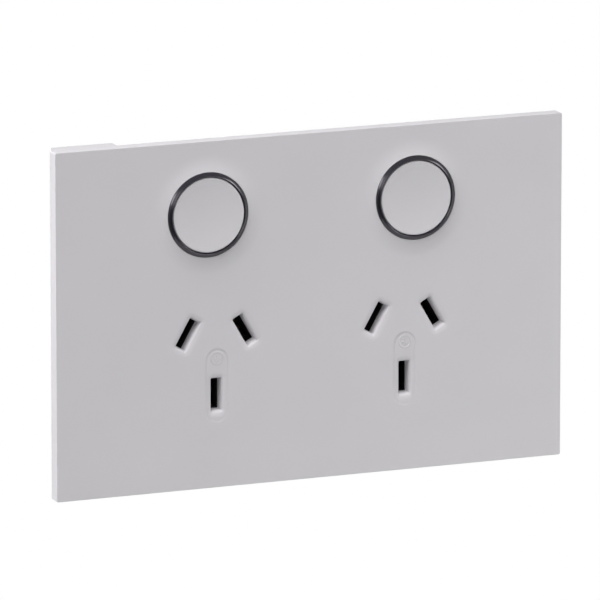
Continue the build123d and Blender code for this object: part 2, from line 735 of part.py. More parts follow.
save("terminal_screws", Compound([clamp_screw(x) for x in (-TERMINAL_DX, 0.0, TERMINAL_DX)]))
save("rear_cover_screws", Compound([rear_screw(x, z) for x, z in REAR_SCREWS]))
save("wall_screws", Compound([wall_screw(x) for x in (-WALL_SCREW_X, WALL_SCREW_X)]))
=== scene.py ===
# %% [markdown]
# # A double wall socket
#
# A wall plate with two switched outlets: a thin moulded cover, two round push buttons in dark rings,
# six pin slots and, inside the wall, a housing with the contacts and the terminals.
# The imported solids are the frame. They say where every piece sits, so nothing is fitted by eye.
# This notebook builds the pieces that are seen closely as smooth surfaces and gives all of them a finish.

import bmesh
import bpy
import numpy as np
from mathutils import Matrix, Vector
from mathutils.geometry import delaunay_2d_cdt


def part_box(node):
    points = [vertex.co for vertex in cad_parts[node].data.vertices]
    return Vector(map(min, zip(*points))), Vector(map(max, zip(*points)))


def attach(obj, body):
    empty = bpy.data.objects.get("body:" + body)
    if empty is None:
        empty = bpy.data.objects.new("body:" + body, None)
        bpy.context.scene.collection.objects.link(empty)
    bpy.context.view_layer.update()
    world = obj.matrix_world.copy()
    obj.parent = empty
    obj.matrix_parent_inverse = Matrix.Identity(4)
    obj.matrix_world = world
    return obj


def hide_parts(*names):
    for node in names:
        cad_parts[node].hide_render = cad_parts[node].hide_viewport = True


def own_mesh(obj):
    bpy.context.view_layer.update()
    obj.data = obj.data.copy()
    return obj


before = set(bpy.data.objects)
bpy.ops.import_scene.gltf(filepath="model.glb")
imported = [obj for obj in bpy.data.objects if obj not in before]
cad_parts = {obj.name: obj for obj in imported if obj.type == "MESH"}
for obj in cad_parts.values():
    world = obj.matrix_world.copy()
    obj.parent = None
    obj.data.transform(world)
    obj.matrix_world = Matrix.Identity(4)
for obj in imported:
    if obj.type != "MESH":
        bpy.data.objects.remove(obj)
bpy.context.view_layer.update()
mm = 0.001

# %% [markdown]
# ## Planes that everything is measured from
#
# X runs right and Z up as seen from the room, and Y runs into the wall. The mounting frame starts at the
# seam behind the cover, and the other depths are counted from there: the face in front of it, the back of
# the cover's thin skin, and the ends of the collars that guide a plug's pins.

# %% Depths of the plate
COVER_DEPTH = 3.3 * mm
COVER_SKIN = 1.8 * mm
COLLAR_DEPTH = 2.9 * mm
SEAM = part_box("mounting_frame")[0].y
FACE = SEAM - COVER_DEPTH
SKIN = FACE + COVER_SKIN
COLLAR = FACE + COLLAR_DEPTH
PLATE_W, _, PLATE_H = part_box("front_cover")[1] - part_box("front_cover")[0]
print("plate", round(PLATE_W / mm, 1), "by", round(PLATE_H / mm, 1), "mm, face at", round(FACE / mm, 2))

# %% [markdown]
# ## The camera
#
# The plate is seen from the left and a little above, through a long lens, so its edges stay almost
# parallel. A camera can be aimed with a constraint, but a fixed place and turn also hold when other
# views move it.

# %% Camera at the photograph's angle
CAMERA_TURN = np.radians(22.716)
CAMERA_RISE = np.radians(12.149)
CAMERA_DISTANCE = 2011.8 * mm
CAMERA_TARGET = Vector((-2.825 * mm, FACE, 1.679 * mm))
LENS = 533.43
SENSOR = 36.0


def away(turn, rise):
    """Unit direction from the plate to a viewer who stands turn to the left and rise above."""
    return Vector((-np.sin(turn) * np.cos(rise), -np.cos(turn) * np.cos(rise), np.sin(rise)))


camera_data = bpy.data.cameras.new("photo_camera")
camera_data.lens = LENS
camera_data.sensor_width = SENSOR
camera = bpy.data.objects.new("photo_camera", camera_data)
toward = away(CAMERA_TURN, CAMERA_RISE)
camera.location = CAMERA_TARGET + toward * CAMERA_DISTANCE
camera.rotation_euler = (-toward).to_track_quat("-Z", "Y").to_euler()
bpy.context.scene.collection.objects.link(camera)
bpy.context.scene.camera = camera
print("camera at", [round(v, 3) for v in camera.location])

# %% [markdown]
# ## Lamps
#
# One bright dome would light a white plate evenly, and its shallow forms would vanish. So most of the
# light falls steeply from above: the face turns grey, the top edge is bright and the flares are shaded.
# A box behind the plate brightens its left edge, and a low one lights the slots' walls that face left.
# Three boxes in front show as streaks in the glossy rings. Two small ones stand close by, so their light
# fades across the plate and leaves its lower right a little lighter. The boxes above and low on the left
# aren't mirrored, because the rings are dark where their streaks would be.

# %% Soft boxes
# Name, direction from the plate, distance and size in metres, watts, and whether a gloss mirrors it
LAMPS = [
    ("overhead_box", (-0.24, -0.24, 0.94), 1.6, 1.10, 28.0, False),
    ("left_edge_box", (-0.95, 0.27, 0.08), 1.6, 0.60, 14.8, True),
    ("left_front_box", (-0.84, -0.33, 0.43), 1.6, 0.60, 6.0, True),
    ("camera_left_box", (-0.486, -0.825, 0.288), 1.6, 0.60, 2.1, True),
    ("left_low_box", (-0.82, -0.50, -0.24), 1.6, 0.60, 2.8, False),
    ("right_box", (0.76, -0.57, 0.28), 1.6, 0.50, 5.8, True),
    ("near_right_box", (0.80, -0.56, -0.20), 0.40, 0.15, 0.22, True),
    ("near_low_box", (0.20, -0.78, -0.55), 0.42, 0.15, 0.25, True),
]


def soft_box(name, direction, distance, size, watts, mirrored):
    """Square lamp at a distance along a direction from the plate, turned to face it."""
    lamp = bpy.data.lights.new(name, "AREA")
    lamp.size = size
    lamp.energy = watts
    box = bpy.data.objects.new(name, lamp)
    way = Vector(direction).normalized()
    box.location = way * distance
    box.rotation_euler = (-way).to_track_quat("-Z", "Y").to_euler()
    box.visible_camera = False
    box.visible_glossy = mirrored
    bpy.context.scene.collection.objects.link(box)


for lamp in LAMPS:
    soft_box(*lamp)

# %% [markdown]
# ## Nodes in one line
#
# Sky, floor and finishes are all small trees of nodes. They can be wired up one socket at a time, but the
# same few steps come back in each: one operation on two values, or a value carried from one range onto
# another. A helper for each step keeps the trees readable.

# %% Steps of a node tree
def link(tree, output, target):
    """Joins the output of one node to the input of another."""
    tree.links.new(output, target)


def arithmetic(tree, operation, first, second):
    """One operation on two values, each the output of a node or a number."""
    step = tree.nodes.new("ShaderNodeMath")
    step.operation = operation
    for value, target in zip((first, second), step.inputs):
        if isinstance(value, bpy.types.NodeSocket):
            link(tree, value, target)
        else:
            target.default_value = value
    return step.outputs[0]


def ranged(tree, value, low, high, start=0.0, end=1.0):
    """Value carried evenly from the range start to end onto low to high, and held outside it."""
    step = tree.nodes.new("ShaderNodeMapRange")
    step.inputs["From Min"].default_value = start
    step.inputs["From Max"].default_value = end
    step.inputs["To Min"].default_value = low
    step.inputs["To Max"].default_value = high
    link(tree, value, step.inputs["Value"])
    return step.outputs["Result"]


print("steps:", [step.__name__ for step in (link, arithmetic, ranged)])

# %% [markdown]
# ## Sky and floor
#
# The sky is white where the camera looks at it, half as bright in a gloss, and dim as a light, because
# shade is what shows the shallow forms. A second world can't be had for mirror images, but Light Path tells
# which kind of ray asks. A soft dark patch of mirrored sky keeps the rings dark on their lower left.
# The floor is far below the plate. It is plain paint in the middle, where a shadow could fall, and fades
# into the white of the sky.

# %% Sky
SKY_AS_LIGHT = 0.02
MIRRORED = 0.5
DARK_WAY = (-0.54, -0.74, -0.40)
DARK_FROM = 0.80
DARK_FULL = 0.90
DARK_SHARE = 1 / 6


def looked_at(tree, mirrored=MIRRORED):
    """1 for rays of the camera or through glass, mirrored for those off a gloss, 0 for light on things."""
    path = tree.nodes.new("ShaderNodeLightPath").outputs
    gloss = arithmetic(tree, "MULTIPLY", path["Is Glossy Ray"], mirrored)
    seen = arithmetic(tree, "MAXIMUM", path["Is Camera Ray"], path["Is Transmission Ray"])
    return arithmetic(tree, "MAXIMUM", seen, gloss)


world = bpy.data.worlds.new("studio")
world.use_nodes = True
bpy.context.scene.world = world
sky = world.node_tree
nearness = sky.nodes.new("ShaderNodeVectorMath")
nearness.operation = "DOT_PRODUCT"
nearness.inputs[1].default_value = DARK_WAY
link(sky, sky.nodes.new("ShaderNodeTexCoord").outputs["Generated"], nearness.inputs[0])
dimmed = MIRRORED * DARK_SHARE
dark_patch = ranged(sky, nearness.outputs["Value"], MIRRORED, dimmed, DARK_FROM, DARK_FULL)
strength = ranged(sky, looked_at(sky, dark_patch), SKY_AS_LIGHT, 1.0)
sky.nodes["Background"].inputs["Color"].default_value = (1, 1, 1, 1)
link(sky, strength, sky.nodes["Background"].inputs["Strength"])
bpy.context.scene.view_settings.view_transform = "Standard"
print("sky: seen at 1, mirrored at", MIRRORED, "and as light", SKY_AS_LIGHT)

# %% Floor
FLOOR_DROP = 1000 * mm
FLOOR_HALF = 900 * mm
FLOOR_SHADED = 350 * mm
FLOOR_WHITE = 650 * mm
FLOOR_COLOUR = (0.80, 0.80, 0.80, 1)
FLOOR_ROUGH = 0.9

floor_mesh = bpy.data.meshes.new("floor")
corners = np.array([[-1, -1], [1, -1], [1, 1], [-1, 1]]) * FLOOR_HALF
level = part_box("front_cover")[0].z - FLOOR_DROP
floor_mesh.from_pydata(np.c_[corners, np.full(4, level)].tolist(), [], [(0, 1, 2, 3)])
floor = bpy.data.objects.new("floor", floor_mesh)
bpy.context.scene.collection.objects.link(floor)

pale = bpy.data.materials.new("pale_floor")
pale.use_nodes = True
tree = pale.node_tree
paint = tree.nodes["Principled BSDF"]
paint.inputs["Base Color"].default_value = FLOOR_COLOUR
paint.inputs["Roughness"].default_value = FLOOR_ROUGH
reach = tree.nodes.new("ShaderNodeVectorMath")
reach.operation = "LENGTH"
link(tree, tree.nodes.new("ShaderNodeTexCoord").outputs["Object"], reach.inputs[0])
fade = ranged(tree, reach.outputs["Value"], 0.0, 1.0, FLOOR_SHADED, FLOOR_WHITE)
glow = tree.nodes.new("ShaderNodeEmission")
mix = tree.nodes.new("ShaderNodeMixShader")
link(tree, arithmetic(tree, "MULTIPLY", fade, looked_at(tree)), mix.inputs["Fac"])
link(tree, paint.outputs["BSDF"], mix.inputs[1])
link(tree, glow.outputs["Emission"], mix.inputs[2])
link(tree, mix.outputs["Shader"], tree.nodes["Material Output"].inputs["Surface"])
floor_mesh.materials.append(pale)
print("floor", round(FLOOR_DROP / mm), "mm below the plate")

# %% [markdown]
# ## Outlines and profiles
#
# Nearly every edge on this object is a small profile that runs round an outline: the plate's rounded rim,
# the flared mounts, the lead-ins of the slots, the inserts and all turned pieces.
# So an outline is a function that gives its points at any outset, and a profile is a list of
# (outset, depth) pairs. Carrying the one round the other gives a grid of points, with no booleans.

# %% Outlines
def rectangle(width, height, corner, middle=(0, 0), turn=0.0, steps=8, share=(1, 1)):
    """Rounded rectangle in X and Z, as a function of outset.

    Each corner is an arc: its centre plus a radius times directions over a quarter turn. Moving the
    outline out adds to the radius, by a share of the outset along the width and along the height. Where
    the radius would fall below zero, the corner moves instead. A corner of half the width gives a stadium.
    """
    angle = (np.linspace(0, np.pi / 2, steps + 1) + np.pi / 2 * np.arange(4)[:, None]).ravel()
    way = np.stack([np.cos(angle), np.sin(angle)], -1)
    sign = np.repeat([[1, 1], [-1, 1], [-1, -1], [1, -1]], steps + 1, axis=0)
    centre = sign * (np.array([width, height]) / 2 - corner)
    spin = np.array([[np.cos(turn), -np.sin(turn)], [np.sin(turn), np.cos(turn)]])

    def at(outset):
        """Points of the outline, one row of them for each outset."""
        radius = corner + np.asarray(outset, float)[..., None, None] * np.array(share)
        points = centre + way * np.maximum(radius, 0) + sign * np.minimum(radius, 0)
        return points @ spin.T + np.array(middle)

    return at


def circle(middle, steps=128):
    """Circle in X and Z, as a function of its radius: the middle plus radius times directions."""
    angle = np.linspace(0, 2 * np.pi, steps, endpoint=False)
    way = np.stack([np.cos(angle), np.sin(angle)], -1)

    def at(radius):
        """Points of the circle, one row of them for each radius."""
        return np.array(middle) + way * np.asarray(radius, float)[..., None, None]

    return at


print("points round a circle:", circle((0, 0))(np.ones(1)).shape[1])


# %% [markdown]
# ## Carrying a profile round an outline
#
# A curve with a bevel profile does this among Blender's own tools. As arrays it is a few lines: all outsets
# give all rows of the outline at once, and each row gets its depth. Four-sided faces then join the rows.

# %% Carrying and rounding
SAME = 1e-9
QUARTER = np.linspace(0, np.pi / 2, 7)


def quads(rows, columns):
    """Corners of the faces of a grid that closes on itself along its columns."""
    number = np.arange(rows * columns).reshape(rows, columns)
    beside = np.roll(number, -1, axis=1)
    return np.stack([number[:-1], beside[:-1], beside[1:], number[1:]], -1).reshape(-1, 4)


def carry(outline, profile):
    """Grid of points: row i is the outline at the profile's outset i, at its depth i along Y."""
    outset, depth = np.array(profile, float).T
    flat = outline(outset)
    along = np.broadcast_to(depth[:, None], flat.shape[:2])
    points = np.stack([flat[..., 0], along, flat[..., 1]], -1)
    return points.reshape(-1, 3), quads(*flat.shape[:2])


def loop(outline, outset):
    """One closed row of an outline, as the edge of a filled sheet, without points that coincide."""
    points = outline(np.array([outset]))[0]
    apart = np.linalg.norm(points - np.roll(points, 1, axis=0), axis=1) > SAME
    return points[apart]


def rounding(width, drop, depth, steps=8):
    """Quarter of an ellipse that leaves a face at depth and turns into the wall at outset 0."""
    t = np.linspace(0, np.pi / 2, steps + 1)
    return np.stack([width * (1 - np.sin(t)), depth + drop * (1 - np.cos(t))], -1).tolist()


print("faces between 3 rows of 8 points:", len(quads(3, 8)))

# %% [markdown]
# ## Flat sheets with holes
#
# The face is a sheet with eight holes. One many-sided face can't have holes, so the loops are given to a
# constrained Delaunay triangulation, which keeps them as edges. Triangles outside the sheet are dropped.

# %% Filling
TOUCH = 1e-6
WHOLE_HULL = 0


def inside(points, loops):
    """True where a line to the right crosses the loops an odd number of times."""
    crossings = np.zeros(len(points), int)
    for ring in loops:
        ahead = np.roll(ring, -1, axis=0)
        rise = ahead[:, 1] - ring[:, 1]
        share = (points[:, 1:] - ring[:, 1]) / np.where(rise == 0, 1, rise)
        passes = (ring[:, 1] > points[:, 1:]) != (ahead[:, 1] > points[:, 1:])
        crossings += (passes & (points[:, :1] < ring[:, 0] + share * (ahead - ring)[:, 0])).sum(1)
    return crossings % 2 == 1


def fill(depth, outer, *holes):
    """Flat sheet at a depth: the triangles whose middles are inside the outer loop and outside the others."""
    loops = [outer, *holes]
    starts = np.cumsum([0] + [len(ring) for ring in loops])
    edges = [
        np.stack([np.arange(len(ring)), np.roll(np.arange(len(ring)), -1)], -1) + start
        for ring, start in zip(loops, starts)
    ]
    corners = [Vector(point) for point in np.concatenate(loops) / mm]
    result = delaunay_2d_cdt(corners, np.concatenate(edges).tolist(), [], WHOLE_HULL, TOUCH)
    flat = np.array([tuple(point) for point in result[0]]) * mm
    faces = np.array(result[2])
    faces = faces[inside(flat[faces].mean(1), loops)]
    return np.insert(flat, 1, depth, axis=1), faces


sheet = fill(0, loop(rectangle(4 * mm, 4 * mm, 1 * mm), 0), loop(circle((0, 0)), 1 * mm))
print("triangles of a small sheet with a round hole:", len(sheet[1]))

# %% [markdown]
# ## From points to a piece
#
# The patches of a piece share their rims, so welding them gives one closed skin. Faces are then turned
# outwards together, and edges sharper than a set angle stay crisp while the rest shade smoothly.

# %% Pieces
WELD = 2e-7


def piece(name, patches, material, body, replaced=(), crease=40):
    """Welds patches into one closed mesh and puts it on its body in place of the solids it stands for.

    Edges that turn by more than crease, in degrees, are shaded sharp.
    """
    starts = np.cumsum([0] + [len(points) for points, _ in patches])
    points = np.concatenate([points for points, _ in patches])
    grids = [np.array(corners) + start for (_, corners), start in zip(patches, starts)]
    faces = [face for grid in grids for face in grid.tolist()]
    mesh = bpy.data.meshes.new(name)
    mesh.from_pydata(points.tolist(), [], faces)
    work = bmesh.new()
    work.from_mesh(mesh)
    bmesh.ops.remove_doubles(work, verts=work.verts, dist=WELD)
    bmesh.ops.recalc_face_normals(work, faces=work.faces)
    open_edges = sum(not edge.is_manifold for edge in work.edges)
    work.to_mesh(mesh)
    work.free()
    mesh.shade_smooth()
    mesh.set_sharp_from_angle(angle=np.radians(crease))
    mesh.materials.append(material)
    made = bpy.data.objects.new(name, mesh)
    bpy.context.scene.collection.objects.link(made)
    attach(made, body)
    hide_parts(*replaced)
    print(name, len(mesh.polygons), "faces,", open_edges, "open edges")
    return made


print("points closer than", round(WELD / mm, 6), "mm are welded")

# %% [markdown]
# ## Finishes
#
# No surface is one flat colour. Moulded plastic has a faint cloudiness and a spark-eroded grain that
# scatters the light, brass is rolled and a little tarnished, plated steel is patchy. A painted picture
# would need a map for each piece. Here each finish is noise read from Object coordinates, so it stays on
# the piece when the piece moves. Solids with hard edges also get a Bevel node, which shades those edges
# as if they were a little rounded.

# %% Finishes from noise
NOISE_LOW = 0.3
NOISE_HIGH = 0.7


def noise(tree, size, detail=2.0, stretch=(1, 1, 1)):
    """Noise whose blotches are about size across; stretch lengthens them along an axis."""
    place = tree.nodes.new("ShaderNodeTexCoord")
    turn = tree.nodes.new("ShaderNodeMapping")
    turn.inputs["Scale"].default_value = [1 / s for s in stretch]
    link(tree, place.outputs["Object"], turn.inputs["Vector"])
    texture = tree.nodes.new("ShaderNodeTexNoise")
    texture.inputs["Scale"].default_value = 1 / size
    texture.inputs["Detail"].default_value = detail
    link(tree, turn.outputs["Vector"], texture.inputs["Vector"])
    return texture.outputs["Fac"]


def tint(tree, value, low, high):
    """Noise mapped to a blend of two close colours."""
    ramp = tree.nodes.new("ShaderNodeValToRGB")
    for element, place, colour in zip(ramp.color_ramp.elements, (NOISE_LOW, NOISE_HIGH), (low, high)):
        element.position = place
        element.color = (*colour, 1)
    link(tree, value, ramp.inputs["Fac"])
    return ramp.outputs["Color"]


def finish(
    name, dark, light, cloud, rough, gloss_size, grain, depth,
    metal=0.0, ior=1.46, stretch=(1, 1, 1), sheen=(1, 1, 1), edge=0.0,
):
    """Surface of noise: its colour goes from dark to light in clouds, and its roughness over a range.

    The grain has a size and a depth, sheen tints what the surface mirrors, and edge is the radius
    that hard edges seem to have.
    """
    material = bpy.data.materials.new(name)
    material.use_nodes = True
    tree = material.node_tree
    shader = tree.nodes["Principled BSDF"].inputs
    shader["Metallic"].default_value = metal
    shader["IOR"].default_value = ior
    shader["Specular Tint"].default_value = (*sheen, 1)
    colour = tint(tree, noise(tree, cloud, stretch=stretch), dark, light)
    gloss = ranged(tree, noise(tree, gloss_size, stretch=stretch), *rough, NOISE_LOW, NOISE_HIGH)
    bump = tree.nodes.new("ShaderNodeBump")
    bump.inputs["Strength"].default_value = 1.0
    bump.inputs["Distance"].default_value = depth
    link(tree, noise(tree, grain, detail=1.0, stretch=stretch), bump.inputs["Height"])
    if edge:
        rounded = tree.nodes.new("ShaderNodeBevel")
        rounded.inputs["Radius"].default_value = edge
        link(tree, rounded.outputs["Normal"], bump.inputs["Normal"])
    link(tree, colour, shader["Base Color"])
    link(tree, gloss, shader["Roughness"])
    link(tree, bump.outputs["Normal"], shader["Normal"])
    return material


print("noise is read between", NOISE_LOW, "and", NOISE_HIGH)

# %% Plastics
white = dict(
    dark=(0.622, 0.607, 0.632), light=(0.637, 0.621, 0.646), cloud=22 * mm,
    rough=(0.52, 0.60), gloss_size=3 * mm, grain=0.35 * mm, depth=0.0012 * mm, ior=1.42,
)
WHITE = finish("white_moulding", **white)
FRAME = finish("white_frame_moulding", edge=0.2 * mm, **white)
NATURAL = finish(
    "natural_moulding", dark=(0.60, 0.58, 0.53), light=(0.66, 0.64, 0.59), cloud=6 * mm,
    rough=(0.40, 0.52), gloss_size=2 * mm, grain=0.30 * mm, depth=0.004 * mm, edge=0.15 * mm,
)
RING = finish(
    "dark_gloss_moulding", dark=(0.0050, 0.0048, 0.0085), light=(0.0065, 0.0063, 0.0105), cloud=4 * mm,
    rough=(0.17, 0.22), gloss_size=2 * mm, grain=0.5 * mm, depth=0.0005 * mm, ior=1.70,
    sheen=(0.97, 0.91, 1.0),
)
BLACK = finish(
    "black_moulding", dark=(0.010, 0.010, 0.011), light=(0.017, 0.017, 0.018), cloud=9 * mm,
    rough=(0.55, 0.70), gloss_size=2 * mm, grain=0.30 * mm, depth=0.008 * mm, ior=1.38, edge=0.25 * mm,
)
GREY = finish(
    "grey_moulding", dark=(0.50, 0.50, 0.51), light=(0.56, 0.56, 0.57), cloud=15 * mm,
    rough=(0.45, 0.58), gloss_size=2 * mm, grain=0.30 * mm, depth=0.006 * mm, edge=0.25 * mm,
)
print("plastics:", [m.name for m in (WHITE, FRAME, NATURAL, RING, BLACK, GREY)])

# %% [markdown]
# ## Metal finishes
#
# Contacts are cut from rolled brass strip, so the clouds of the brass are drawn out along X. Screws are
# plated with zinc, in patches of more and less gloss. One roughness all over would look too even.

# %% Metals
BRASS = finish(
    "rolled_brass", dark=(0.66, 0.45, 0.19), light=(0.80, 0.59, 0.28), cloud=5 * mm,
    rough=(0.24, 0.42), gloss_size=0.8 * mm, grain=0.15 * mm, depth=0.002 * mm, metal=1.0,
    stretch=(6, 1, 1), edge=0.12 * mm,
)
SILVER = finish(
    "silver_contact", dark=(0.80, 0.79, 0.76), light=(0.90, 0.89, 0.86), cloud=1 * mm,
    rough=(0.25, 0.40), gloss_size=0.5 * mm, grain=0.12 * mm, depth=0.002 * mm, metal=1.0,
)
ZINC = finish(
    "zinc_plate", dark=(0.58, 0.59, 0.60), light=(0.74, 0.75, 0.76), cloud=2 * mm,
    rough=(0.24, 0.42), gloss_size=0.8 * mm, grain=0.15 * mm, depth=0.002 * mm, metal=1.0,
)
SPRING = finish(
    "spring_wire", dark=(0.50, 0.50, 0.50), light=(0.64, 0.64, 0.64), cloud=0.8 * mm,
    rough=(0.25, 0.38), gloss_size=0.4 * mm, grain=0.10 * mm, depth=0.001 * mm, metal=1.0,
)
print("metals:", [m.name for m in (BRASS, SILVER, ZINC, SPRING)])

# %% [markdown]
# ## The front cover
#
# One shallow moulding: a flat face whose edges are barely broken, two flared mounts that rise to the
# rings, four slots with rounded lead-ins and two long openings for the earth inserts. A boolean of a box
# would leave hard, faceted rims. Here the face is a flat sheet with holes, and every rim is a carried
# profile that starts a hair outside its hole, so that the face stays perfectly flat in the light.

# %% Sizes of the plate and its slots
HAIR = 0.04 * mm
PLATE_CORNER = 0.4 * mm
PLATE_EDGE = 0.12 * mm
COVER_RIM = 1.6 * mm
SLOT_W = 2.55 * mm
SLOT_L = 7.2 * mm
EARTH_MORE = 0.25 * mm
SLOT_CORNER = 0.25 * mm
SLOT_DROP = 0.18 * mm
LEAD_W = 1.6 * mm
LEAD_TILT = np.radians(18)
ARC_W = 0.45 * mm
ARC_D = 0.95 * mm
COLLAR_T = 0.8 * mm
DRAFT = 0.12 * mm
LIVE_TILT = np.radians(30)
PIN_CENTRE_UP = 10.31 * mm
LIVE_CIRCLE = 7.92 * mm
print("slots", round(SLOT_W / mm, 2), "by", round(SLOT_L / mm, 2), "mm")

# %% Sizes of the insert openings and the mounts
INSERT_UP = 1.89 * mm
INSERT_W = 5.0 * mm
INSERT_L = 16.55 * mm
INSERT_GAP = 0.03 * mm
INSERT_LIP = 0.8 * mm
INSERT_LIP_T = 0.7 * mm
REBATE_ROOM = 0.1 * mm
BEVEL_W = 0.42 * mm
BEVEL_D = 0.12 * mm
FLARE_R = 13.8 * mm
FLARE_H = 0.5 * mm
RING_R = 9.74 * mm
RING_SEAT = 0.05 * mm
RING_FLANGE = 1.2 * mm
RING_FLANGE_T = 0.8 * mm
SIDES = ("left", "right")


def middle_of(node):
    """Centre of a solid as seen from the front."""
    low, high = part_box(node)
    return np.array([low.x + high.x, low.z + high.z]) / 2


button = {side: middle_of(side + "_halo_ring") for side in SIDES}
insert = {side: middle_of(side + "_earth_insert") for side in SIDES}
earth = {side: insert[side] - [0, INSERT_UP] for side in SIDES}
print("buttons at", [tuple(np.round(p / mm, 2)) for p in button.values()])


# %% [markdown]
# ## Where the slots are
#
# Flat pins lie on fixed circles round a plug's centre, so a slot's place follows from an angle and a radius.
# The slots could be traced from a picture, but a plug only fits if the spacing is right. Each slot lies a
# little low along its own length.

# %% Outlines of the openings
def live_slot(side, across):
    """Slanted pin slot on the live circle, 30 degrees above the pins' centre and a little low."""
    offset = LIVE_CIRCLE * np.array([across * np.cos(LIVE_TILT), np.sin(LIVE_TILT)])
    length = np.array([-across * np.sin(LIVE_TILT), np.cos(LIVE_TILT)])
    middle = earth[side] + [0, PIN_CENTRE_UP] + offset - SLOT_DROP * length
    return rectangle(SLOT_W, SLOT_L, SLOT_CORNER, middle, across * LIVE_TILT, steps=6)


def earth_slot(side, share=(1, 1)):
    """Upright pin slot, longer than a live one at its lower end."""
    middle = earth[side] - [0, SLOT_DROP + EARTH_MORE / 2]
    return rectangle(SLOT_W, SLOT_L + EARTH_MORE, SLOT_CORNER, middle, steps=6, share=share)


def stadium(side):
    """Outline of an insert: a rectangle whose corners are half its width."""
    return rectangle(INSERT_W, INSERT_L, INSERT_W / 2, insert[side], steps=16)


slots = [live_slot(side, across) for side in SIDES for across in (-1, 1)]
openings = [stadium(side) for side in SIDES]
mounts = [circle(button[side]) for side in SIDES]
plate = rectangle(PLATE_W, PLATE_H, PLATE_CORNER)
print(len(slots), "live slots,", len(openings), "insert openings,", len(mounts), "button mounts")


# %% [markdown]
# ## Lead-ins and flares
#
# A slot opens like a funnel, to guide the pin, and the face swells up softly to each ring. A Bevel modifier
# gives arcs of one radius. Here the slopes are formulas that start level, so the shade on them sets in
# without a line on the face.

# %% Lead-ins and flares
def lead_in(depth, bend_steps=10, arc_steps=12):
    """Funnel: a parabola from the level face to LEAD_TILT, then part of an ellipse into the wall.

    The parabola takes all but ARC_W of the width, so the slope grows evenly over it. The ellipse starts
    where its own slope is the same.
    """
    run = LEAD_W - ARC_W
    t = np.linspace(0, 1, bend_steps + 1)
    bend = np.stack([LEAD_W - run * t, depth + np.tan(LEAD_TILT) * run * t**2 / 2], -1)
    ratio = np.tan(LEAD_TILT) * ARC_W / ARC_D
    first = np.arcsin(ratio / (1 - ratio))
    t = np.linspace(first, np.pi / 2, arc_steps + 1)[1:]
    across = ARC_W * (1 - np.sin(t)) / (1 - np.sin(first))
    down = bend[-1, 1] + ARC_D * (1 - np.cos(t) / np.cos(first))
    return np.concatenate([bend, np.stack([across, down], -1)]).tolist()


def flare_profile(steps=24):
    """Arc that leaves the face level at FLARE_R and has risen by FLARE_H at the ring.

    At a distance s from where it starts, its height is a - sqrt(a^2 - s^2), where a is the arc's radius.
    """
    inner = RING_R + RING_SEAT
    run = FLARE_R - inner
    arc = (run**2 + FLARE_H**2) / (2 * FLARE_H)
    s = np.linspace(0, run, steps + 1)
    return np.stack([FLARE_R - s, FACE - (arc - np.sqrt(arc**2 - s**2))], -1).tolist()


print("lead-in of", len(lead_in(FACE)), "rows, flare of", len(flare_profile()))

# %% Profiles of the cover
rim_profile = [(-PLATE_EDGE - HAIR, FACE)] + rounding(-PLATE_EDGE, PLATE_EDGE, FACE, steps=5)
rim_profile += [(0, SEAM), (-COVER_RIM, SEAM), (-COVER_RIM, SKIN)]
collar_profile = [(-DRAFT, COLLAR), (COLLAR_T, COLLAR), (COLLAR_T, SKIN)]
slot_profile = [(LEAD_W + HAIR, FACE)] + lead_in(FACE) + collar_profile
rebate_y = SKIN - INSERT_LIP_T - REBATE_ROOM
rebate = INSERT_LIP + INSERT_GAP
opening_profile = [
    (INSERT_GAP + BEVEL_W + HAIR, FACE), (INSERT_GAP + BEVEL_W, FACE),
    (INSERT_GAP, FACE + BEVEL_D), (INSERT_GAP, rebate_y), (rebate, rebate_y), (rebate, SKIN),
]
seat = RING_R + RING_FLANGE + RING_SEAT
seat_y = SKIN - RING_FLANGE_T - RING_SEAT
mount_profile = [(FLARE_R + HAIR, FACE)] + flare_profile()
mount_profile += [(RING_R + RING_SEAT, seat_y), (seat, seat_y), (seat, SKIN)]
rims = [(plate, rim_profile)]
rims += [(outline, slot_profile) for outline in slots]
rims += [(outline, opening_profile) for outline in openings]
rims += [(outline, mount_profile) for outline in mounts]
print("rims:", len(rims), "with up to", max(len(profile) for _, profile in rims), "rows")

# %% [markdown]
# ## Snap hooks on the cover's back
#
# The cover has no screws: four hooks behind it catch in slots of the mounting frame. Each is the same
# six-sided outline drawn in X and Y, moved from one end of the hook to the other. An extruded curve would
# give the same, but then the cover's skin would be two kinds of object.

# %% Snap hooks
HOOK_INSET = 9 * mm
HOOK_SUNK = 0.2 * mm
HOOK_X = PLATE_W / 2 - HOOK_INSET
HOOK_Z = 22 * mm
HOOK_HALF = 4 * mm
HOOK_T = 1.2 * mm
HOOK_BARB = 0.6 * mm
HOOK_CATCH = -1.25 * mm
HOOK_END = -0.4 * mm
HOOK_ROOT = SKIN - HOOK_SUNK


def hook(side, z):
    """Prism along Z: a straight leg with a barb at its end, drawn in X and Y."""
    x = side * np.array([0, HOOK_T, HOOK_T, HOOK_T + HOOK_BARB, HOOK_T, 0]) + side * HOOK_X
    y = np.array([HOOK_ROOT, HOOK_ROOT, HOOK_CATCH, HOOK_CATCH, HOOK_END, HOOK_END])
    ends = [np.stack([x, y, np.full(6, z + half)], -1) for half in (-HOOK_HALF, HOOK_HALF)]
    caps = np.stack([np.arange(6), np.arange(6) + 6])
    return [(np.concatenate(ends), quads(2, 6)), (np.concatenate(ends), caps)]


hooks = [patch for side in (-1, 1) for z in (-HOOK_Z, HOOK_Z) for patch in hook(side, z)]
print(len(hooks) // 2, "hooks")

# %% [markdown]
# ## The cover in one skin
#
# Front and back are flat sheets, bounded by the first and the last rows of the nine rims. A plane with a
# Solidify modifier would have one thickness everywhere. With the rims between the sheets the skin is closed,
# collars and rebates included.

